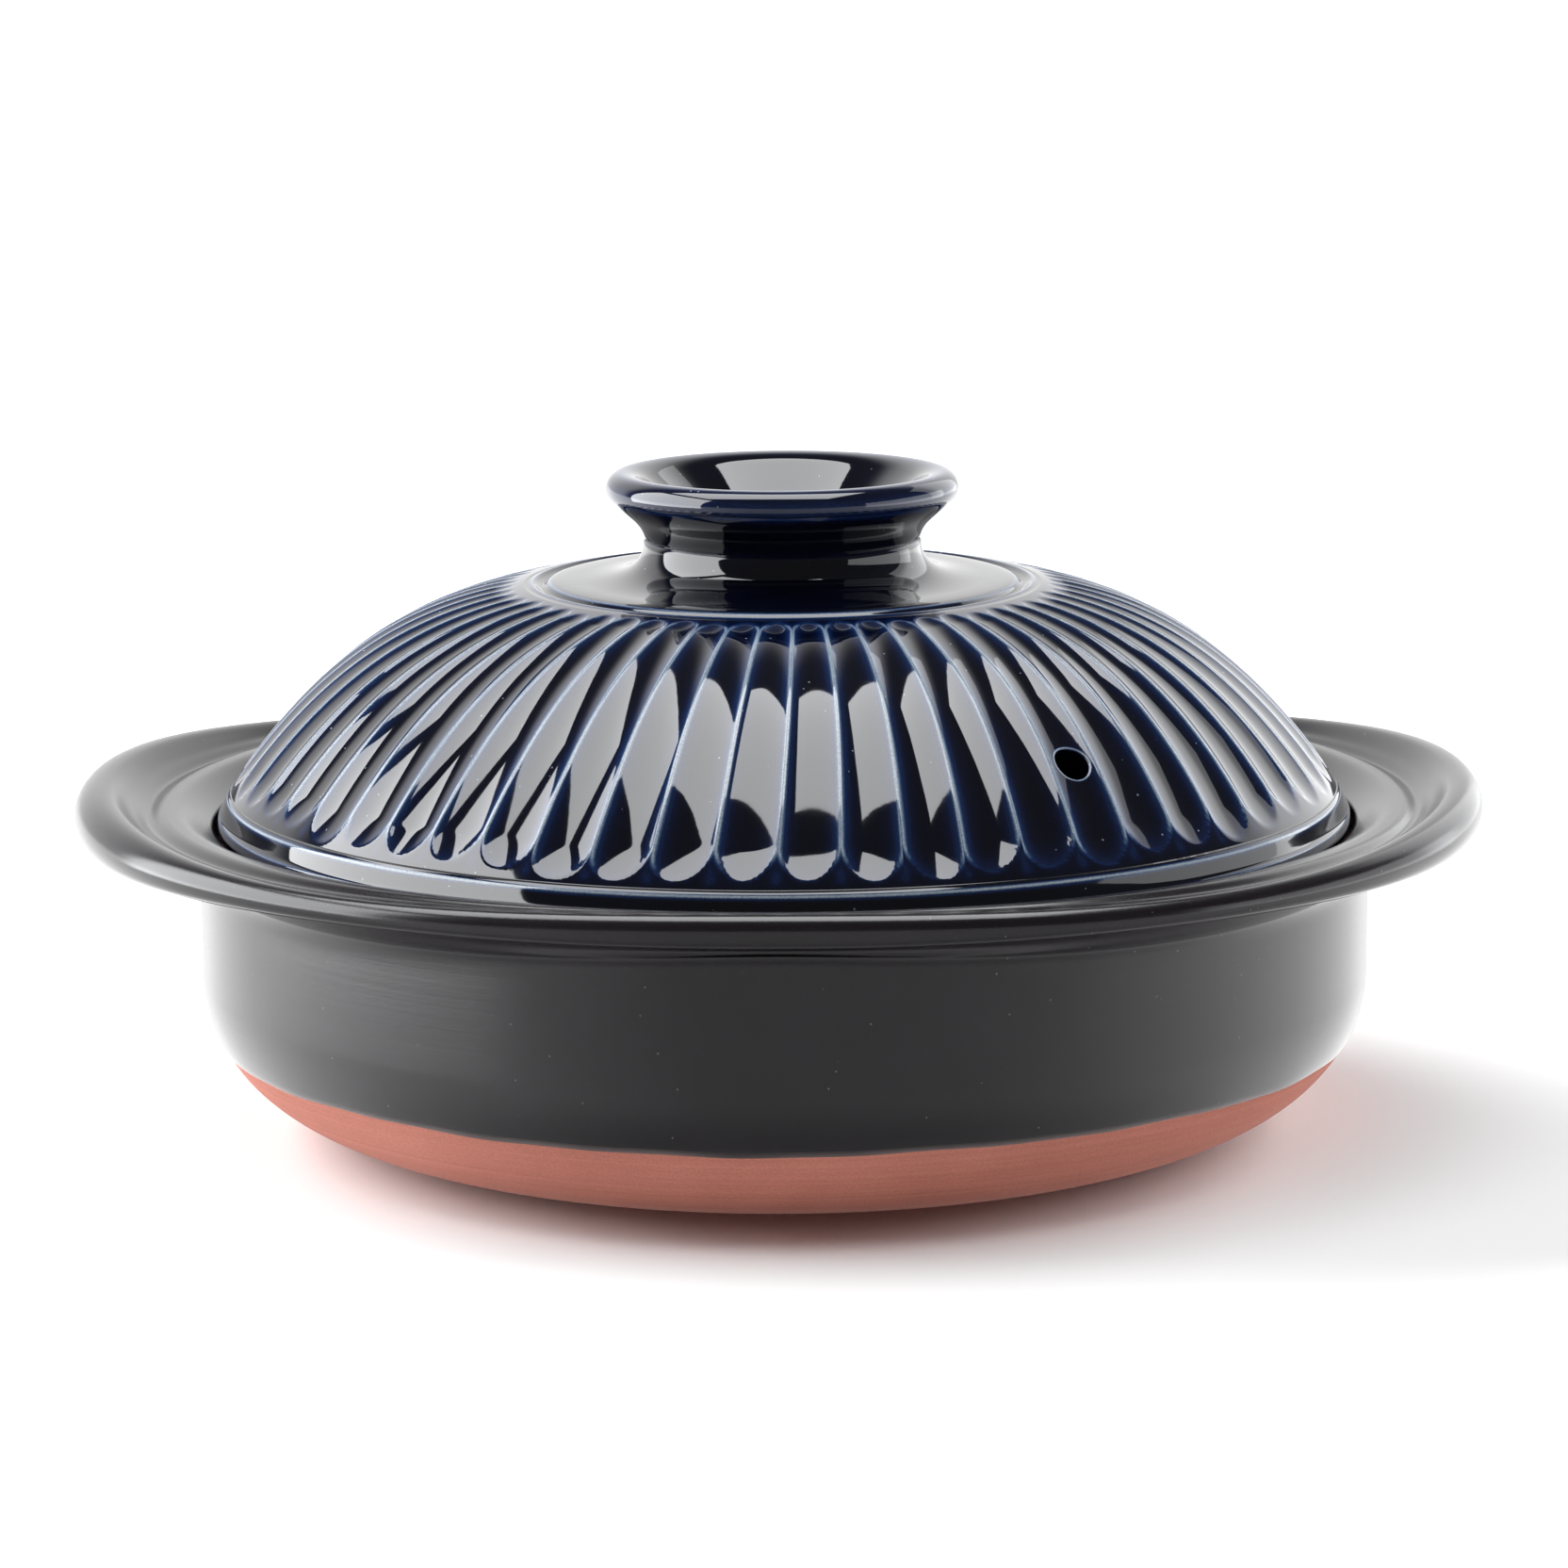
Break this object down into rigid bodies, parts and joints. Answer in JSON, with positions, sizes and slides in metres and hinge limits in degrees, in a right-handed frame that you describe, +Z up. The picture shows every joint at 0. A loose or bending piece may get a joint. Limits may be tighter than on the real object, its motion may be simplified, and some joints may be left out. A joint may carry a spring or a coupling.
{
  "type": "clay cooking pot with lid",
  "caption": "Wide clay cooking pot with two broad ears, a bare rounded base and a fluted domed lid with a ring knob and a steam vent.",
  "frame": {"origin": "centre of the foot ring on the ground plane, under the pot's upright axis", "axes": "+Z up, +X along the line of the two ears, -Y to the front of the picture"},
  "size_m": [0.3166, 0.275, 0.148],
  "materials": {
    "bare_clay": "matte, fine grained",
    "black_glaze": "satin, slightly speckled",
    "blue_glaze": "glossy, lighter where it breaks on edges"
  },
  "bodies": {
    "pot": {"pot_body": "bare_clay", "pot_glaze": "black_glaze", "pot_glaze_inside": "black_glaze", "handle_left": "black_glaze", "handle_right": "black_glaze"},
    "lid": {"lid_shell": "blue_glaze", "lid_knob": "blue_glaze"}
  },
  "joints": [
    {"name": "lid_lift", "type": "slide", "parent": "pot", "child": "lid", "axis": [0, 0, 1], "range_m": [0, 0.2]}
  ]
}
